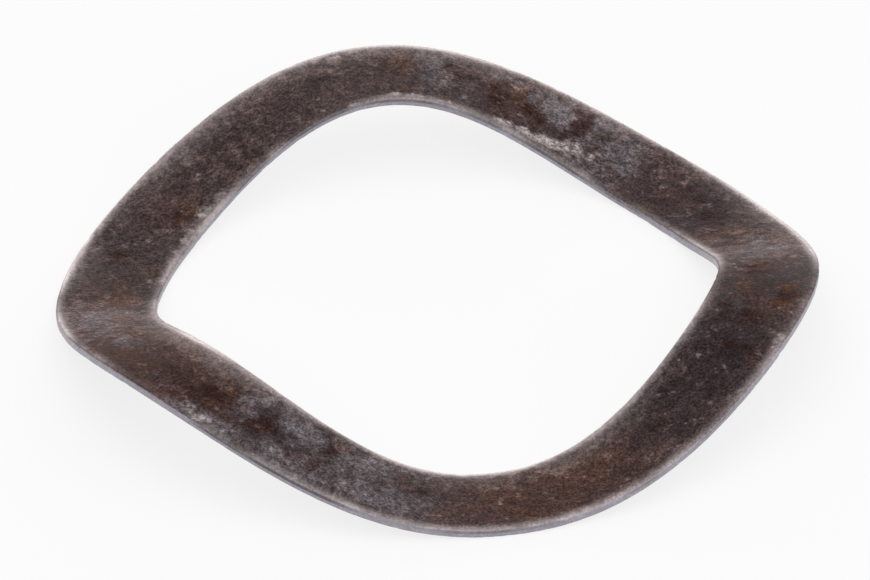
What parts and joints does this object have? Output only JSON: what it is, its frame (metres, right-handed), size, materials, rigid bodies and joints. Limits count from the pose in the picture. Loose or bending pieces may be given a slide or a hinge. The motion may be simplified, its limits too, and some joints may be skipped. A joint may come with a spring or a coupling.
{
  "type": "wave spring washer",
  "caption": "Thin ring of dark spring steel formed into even waves, which pushes two flat faces apart when it is squeezed between them.",
  "frame": {"origin": "on the axis of the bore, in the plane that the troughs rest on", "axes": "+Z along the axis of the bore, up towards the crests; +X is 19 degrees anticlockwise of a crest, seen from above"},
  "size_m": [0.0218, 0.0218, 0.0027],
  "materials": {
    "tarnished_spring_steel": "tumbled spring steel with a dark brown oxide skin, mottled rust and pale rubbed edges"
  },
  "bodies": {
    "root": {"wave_washer": "tarnished_spring_steel"}
  },
  "joints": []
}
